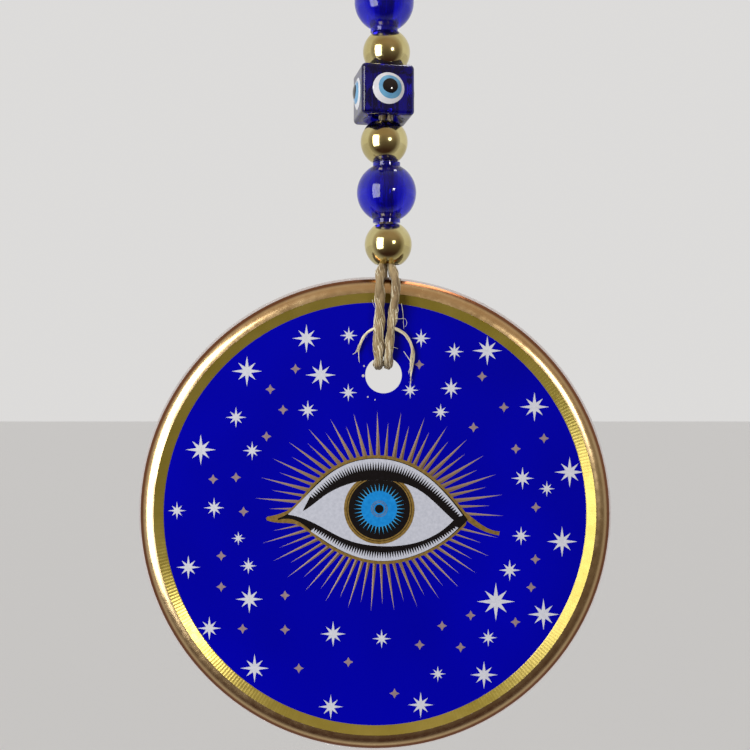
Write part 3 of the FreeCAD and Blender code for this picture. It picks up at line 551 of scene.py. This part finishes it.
def calculate(tree, operation, *terms):
    """A sum on sockets. Each term is a number or the socket that feeds it."""
    n = add(tree, "ShaderNodeMath", operation=operation)
    for socket, term in zip(n.inputs, terms):
        if isinstance(term, float):
            socket.default_value = term
        else:
            tree.links.new(term, socket)
    return n.outputs[0]


def distance_from(tree, place, point):
    n = add(tree, "ShaderNodeVectorMath", operation="DISTANCE")
    n.inputs[1].default_value = point
    tree.links.new(place, n.inputs[0])
    return n.outputs["Value"]


def bump(tree, shader, height, strength, distance):
    n = add(tree, "ShaderNodeBump", Strength=strength, Distance=distance)
    tree.links.new(height, n.inputs["Height"])
    tree.links.new(n.outputs["Normal"], shader.inputs["Normal"])


def object_space(tree):
    return tree.nodes.new("ShaderNodeTexCoord").outputs["Object"]


def give(objects, mat):
    for obj in objects:
        obj.data.materials.clear()
        obj.data.materials.append(mat)
        obj.data.polygons.foreach_set("material_index", [0] * len(obj.data.polygons))


def cad(*names):
    return [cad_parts[name] for name in names]


def jute_material():
    """Pale greyish straw fibres over brown hollows; the hollows' dark brown is painted shade, given by the
    low tone of the cores under the fibres. Each fibre's own tone sets how pale it is.
    """
    mat, tree, shader = material("jute", Roughness=0.82, Sheen_Weight=0.2, Sheen_Roughness=0.5)
    place = object_space(tree)
    coarse = noise(tree, place, 420.0, 4.0)
    fine = noise(tree, place, 2600.0, 3.0)
    tone = add(tree, "ShaderNodeAttribute", attribute_name="tone").outputs["Fac"]
    # Low tones, mostly the cores', map to dark brown: painted shade for the hollows between fibres. Higher
    # tones vary at random, fibre by fibre.
    colour = ramp(tree, calculate(tree, "MULTIPLY_ADD", coarse, 0.5, tone), [
        (0.30, (0.18, 0.115, 0.055)), (0.55, (0.42, 0.325, 0.175)), (0.80, (0.68, 0.59, 0.36)),
        (1.0, (0.86, 0.81, 0.62)),
    ])
    tree.links.new(colour, shader.inputs["Base Color"])
    bump(tree, shader, fine, 0.5, 0.0001)
    return mat


give(jute_pieces, jute_material())


def enamel_material():
    """Deep blue under gloss, with the faint ripple of fired enamel and a little dust."""
    mat, tree, shader = material("blue_enamel", Roughness=0.10, Coat_Weight=0.12, Coat_Roughness=0.04,
                                 Specular_IOR_Level=0.10)
    place = object_space(tree)
    cloud = noise(tree, place, 26.0, 2.0)
    colour = ramp(tree, cloud, [(0.3, (0.0, 0.0, 0.36)), (0.7, (0.0, 0.0, 0.47))])
    tree.links.new(colour, shader.inputs["Base Color"])
    ripple = noise(tree, place, 60.0, 1.5)
    bump(tree, shader, ripple, 0.05, 0.0004)
    dust = noise(tree, place, 900.0, 2.0)
    rough = spread_value(tree, dust, 0.05, 0.16)
    tree.links.new(rough, shader.inputs["Roughness"])
    return mat


def disc_angle(tree):
    """The angle round the disc's centre, in radians."""
    split = tree.nodes.new("ShaderNodeSeparateXYZ")
    tree.links.new(object_space(tree), split.inputs[0])
    across = calculate(tree, "SUBTRACT", split.outputs["X"], DISC.x)
    up = calculate(tree, "SUBTRACT", split.outputs["Z"], DISC.z)
    return calculate(tree, "ARCTAN2", up, across)


def gilt_material(name, colour_low, colour_high, rough, metal=1.0, ticks=0, shaded_edge=False):
    """Fired gold. ticks are faint strokes across a band. With the edge flag set, painted shade turns the gold
    brown towards the disc's outer edge, standing in for the shade on the roll's steep outer slope.
    """
    mat, tree, shader = material(name, Metallic=metal, Roughness=rough)
    place = object_space(tree)
    tone = noise(tree, place, 90.0, 3.0)
    colour = ramp(tree, tone, [(0.35, colour_low), (0.7, colour_high)])
    if shaded_edge:
        # Painted shade: the colour is darkened to brown over the outermost band of the gold, where the roll's
        # steep outer slope falls into shade.
        away = distance_from(tree, place, DISC)
        share = share_of(tree, away, 0.960 * DISC_RADIUS, 0.985 * DISC_RADIUS)
        edge_shade = ramp(tree, share, [(0.3, (1.0, 1.0, 1.0)), (0.7, (0.22, 0.11, 0.08))])
        mixed = add(tree, "ShaderNodeVectorMath", operation="MULTIPLY")
        tree.links.new(colour, mixed.inputs[0])
        tree.links.new(edge_shade, mixed.inputs[1])
        colour = mixed.outputs["Vector"]
    tree.links.new(colour, shader.inputs["Base Color"])
    worn = noise(tree, place, 700.0, 4.0)
    tree.links.new(spread_value(tree, worn, rough * 0.6, rough * 1.7), shader.inputs["Roughness"])
    if ticks:
        wave = calculate(tree, "SINE", calculate(tree, "MULTIPLY", disc_angle(tree), float(ticks)))
        bump(tree, shader, wave, 0.05, 0.00005)
    else:
        bump(tree, shader, noise(tree, place, 240.0, 2.0), 0.02, 0.0002)
    return mat


def ink_material(name, dark, light, rough, metallic=0.0):
    """Printed ink with a fine grain."""
    mat, tree, shader = material(name, Metallic=metallic, Coat_Weight=0.25, Coat_Roughness=0.08)
    place = object_space(tree)
    grain = noise(tree, place, 1500.0, 2.0)
    tree.links.new(ramp(tree, grain, [(0.3, dark), (0.7, light)]), shader.inputs["Base Color"])
    tree.links.new(spread_value(tree, grain, rough * 0.7, rough * 1.3), shader.inputs["Roughness"])
    return mat


def ray_material():
    """The rays' ink, brown where a ray starts at the lids and paler towards its tip."""
    mat, tree, shader = material("ray_ink", Metallic=0.25, Roughness=0.38)
    place = object_space(tree)
    share = share_of(tree, distance_from(tree, place, PUPIL), 11 * MM, 24 * MM)
    colour = ramp(tree, share, [
        (0.0, (0.15, 0.085, 0.035)), (0.5, (0.30, 0.205, 0.13)), (1.0, (0.42, 0.31, 0.26)),
    ])
    tree.links.new(colour, shader.inputs["Base Color"])
    tree.links.new(spread_value(tree, noise(tree, place, 1500.0), 0.28, 0.46), shader.inputs["Roughness"])
    return mat


def clear_glass_material():
    """The disc's clear glass, faintly pink."""
    mat, tree, shader = material("clear_glass", Roughness=0.03, IOR=1.5, Transmission_Weight=0.9)
    place = object_space(tree)
    colour = ramp(tree, noise(tree, place, 50.0, 2.0), [(0.3, (0.88, 0.78, 0.77)), (0.7, (0.94, 0.86, 0.85))])
    tree.links.new(colour, shader.inputs["Base Color"])
    return mat


def cobalt_material(name, dark, light):
    """Cobalt glass, a little darker in the streaks that the rod left when it was wound."""
    mat, tree, shader = material(name, IOR=1.52, Transmission_Weight=0.85)
    place = object_space(tree)
    streaks = noise(tree, place, 130.0, 3.0)
    tree.links.new(ramp(tree, streaks, [(0.3, dark), (0.7, light)]), shader.inputs["Base Color"])
    haze = noise(tree, place, 500.0, 2.0)
    tree.links.new(spread_value(tree, haze, 0.015, 0.06), shader.inputs["Roughness"])
    bump(tree, shader, noise(tree, place, 160.0, 1.0), 0.04, 0.0003)
    return mat


def plated_material():
    """Metallised gold beads: mirror bright, with fine scuffs and a gold tone that varies at random, browner
    in places.
    """
    mat, tree, shader = material("gold_plate", Metallic=1.0)
    place = object_space(tree)
    tone = noise(tree, place, 180.0, 4.0)
    colour = ramp(tree, tone, [(0.3, (0.60, 0.50, 0.20)), (0.7, (0.76, 0.67, 0.34))])
    tree.links.new(colour, shader.inputs["Base Color"])
    scuffs = noise(tree, place, 1300.0, 5.0, 0.7)
    tree.links.new(spread_value(tree, scuffs, 0.05, 0.22), shader.inputs["Roughness"])
    bump(tree, shader, noise(tree, place, 420.0, 3.0), 0.05, 0.0002)
    return mat


def dot_material(name, dark, light):
    """Opaque glass melted on in a drop."""
    mat, tree, shader = material(name, Roughness=0.06, Coat_Weight=0.5, Coat_Roughness=0.03)
    grain = noise(tree, object_space(tree), 600.0, 2.0)
    tree.links.new(ramp(tree, grain, [(0.3, dark), (0.7, light)]), shader.inputs["Base Color"])
    return mat


def rim_material():
    # The roll's outer edge is darkened with painted shade.
    return gilt_material("gilt_roll", (0.84, 0.60, 0.31), (0.93, 0.71, 0.40), 0.20, shaded_edge=True)


def band_material():
    return gilt_material("gilt_band", (0.33, 0.26, 0.035), (0.43, 0.34, 0.07), 0.17, metal=0.45, ticks=420)


give(cad("gold_outline", "iris_ring", "pupil_rings"),
     ink_material("gold_ink", (0.22, 0.135, 0.022), (0.34, 0.22, 0.055), 0.34, 0.35))
give(cad("black_lids", "iris", "pupil"),
     ink_material("black_ink", (0.0015, 0.001, 0.002), (0.003, 0.002, 0.004), 0.2))
give(cad("upper_lashes", "lower_lashes", "white_of_eye"),
     ink_material("white_ink", (0.50, 0.54, 0.65), (0.60, 0.64, 0.76), 0.22))
give(cad("glass_disc"), clear_glass_material())
give(cad("blue_enamel"), enamel_material())
give(cad("gilt_roll"), rim_material())
give(cad("gilt_band"), band_material())
give(cad("gold_rays_upper", "gold_rays_lower"), ray_material())
give(cad("gold_stars"), ink_material("taupe_ink", (0.26, 0.19, 0.225), (0.34, 0.25, 0.29), 0.3))
give(cad("white_stars"), ink_material("star_ink", (0.60, 0.64, 0.76), (0.70, 0.74, 0.86), 0.22))
give(cad("iris_flare"), ink_material("sky_ink", (0.02, 0.30, 0.70), (0.06, 0.42, 0.80), 0.2))
give(cad("iris_blue"), ink_material("iris_ink", (0.002, 0.22, 0.66), (0.008, 0.29, 0.80), 0.2))
give(cad(*[f"gold_bead_{n}" for n in (1, 2, 3, 4)]), plated_material())
give(cad("cobalt_bead_1", "cobalt_bead_2"),
     cobalt_material("cobalt_round", (0.004, 0.004, 0.45), (0.01, 0.01, 0.80)))
give(cad("cube_bead"), cobalt_material("cobalt_cube", (0.002, 0.001, 0.16), (0.004, 0.003, 0.28)))
give(cad("cube_eye_whites"), dot_material("white_glass", (0.66, 0.69, 0.76), (0.78, 0.81, 0.88)))
give(cad("cube_eye_blues"), dot_material("sky_glass", (0.10, 0.30, 0.56), (0.16, 0.42, 0.66)))
give(cad("cube_eye_pupils"), dot_material("black_glass", (0.002, 0.002, 0.003), (0.006, 0.005, 0.007)))

SHARP_EDGED = ("gold_rays_upper", "gold_rays_lower")
for name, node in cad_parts.items():
    smooth = name not in SHARP_EDGED
    node.data.polygons.foreach_set("use_smooth", [smooth] * len(node.data.polygons))


# ---------------------------------------------------------------- stage and light

LIGHT_TARGET = Vector((0, 0, DISC.z + 0.03))
DOME_RADIUS = 1.1
DOME_COLUMNS, DOME_ROWS = 24, 16


def make_floor():
    side, low = 40.0, DISC.z - 1.2
    corners = [(-side, -side, low), (side, -side, low), (side, side, low), (-side, side, low)]
    floor = mesh_object("floor", corners, [(0, 1, 2, 3)])
    mat, _, _ = material("pale_floor", Roughness=0.7, Base_Color=(0.78, 0.77, 0.76, 1.0))
    floor.data.materials.append(mat)


def dome_glow():
    """Dark below and lighter above, and pale towards the rim, where the room's wall takes over."""
    mat = bpy.data.materials.new("dome")
    mat.use_nodes = True
    tree = mat.node_tree
    tree.nodes.remove(tree.nodes["Principled BSDF"])
    split = tree.nodes.new("ShaderNodeSeparateXYZ")
    tree.links.new(object_space(tree), split.inputs[0])
    height = share_of(tree, split.outputs["Z"], LIGHT_TARGET.z - DOME_RADIUS, LIGHT_TARGET.z + DOME_RADIUS)
    tint = add(tree, "ShaderNodeMix", data_type="RGBA")
    tint.inputs["A"].default_value = (0.60, 0.58, 0.55, 1.0)
    tree.links.new(share_of(tree, split.outputs["Y"], 0.0, -0.5 * DOME_RADIUS), tint.inputs["Factor"])
    tree.links.new(ramp(tree, height, [
        (0.15, (0.045, 0.022, 0.020)), (0.45, (0.13, 0.105, 0.080)), (0.60, (0.20, 0.16, 0.12)),
        (0.80, (0.36, 0.27, 0.20)),
    ]), tint.inputs["B"])
    glow = add(tree, "ShaderNodeEmission")
    tree.links.new(tint.outputs["Result"], glow.inputs["Color"])
    tree.links.new(glow.outputs[0], tree.nodes["Material Output"].inputs["Surface"])
    return mat


def make_dome():
    """A dim brown dome on the viewer's side, seen only in reflections."""
    points, faces = [], []
    for row in range(DOME_ROWS + 1):
        up = math.radians(-80 + 165 * row / DOME_ROWS)
        for column in range(DOME_COLUMNS + 1):
            turn = math.radians(-84 + 168 * column / DOME_COLUMNS)
            aim = Vector((math.cos(up) * math.sin(turn), -math.cos(up) * math.cos(turn), math.sin(up)))
            points.append(LIGHT_TARGET + DOME_RADIUS * aim)
    for row in range(DOME_ROWS):
        for column in range(DOME_COLUMNS):
            corner = row * (DOME_COLUMNS + 1) + column
            faces.append((corner, corner + DOME_COLUMNS + 1, corner + DOME_COLUMNS + 2, corner + 1))
    dome = mesh_object("dome", points, faces)
    dome.data.materials.append(dome_glow())
    dome.visible_camera = False
    dome.visible_shadow = False


def softbox(name, direction, distance, width, height, power, colour):
    """An area lamp that looks at the middle of the ornament from a direction."""
    data = bpy.data.lights.new(name, "AREA")
    data.shape = "RECTANGLE"
    data.size, data.size_y = width, height
    data.energy = power
    data.color = colour
    lamp = link(name, data)
    away = Vector(direction).normalized()
    lamp.location = LIGHT_TARGET + away * distance
    lamp.rotation_mode = "QUATERNION"
    lamp.rotation_quaternion = away.to_track_quat("Z", "Y")


def make_light():
    world = bpy.data.worlds.new("studio")
    world.use_nodes = True
    background = world.node_tree.nodes["Background"]
    background.inputs["Color"].default_value = (0.80, 0.79, 0.78, 1.0)
    background.inputs["Strength"].default_value = 0.9
    scene.world = world
    softbox("window", (-0.66, -0.74, 0.10), 0.62, 0.34, 0.56, 3.7, (1.0, 0.99, 0.97))
    softbox("lamp_right", (0.46, -0.87, 0.18), 0.75, 0.10, 0.10, 0.8, (1.0, 0.96, 0.90))
    softbox("overhead", (0.19, 0.17, 0.97), 0.60, 0.20, 0.20, 1.4, (1.0, 0.97, 0.92))


make_floor()
make_dome()
make_light()
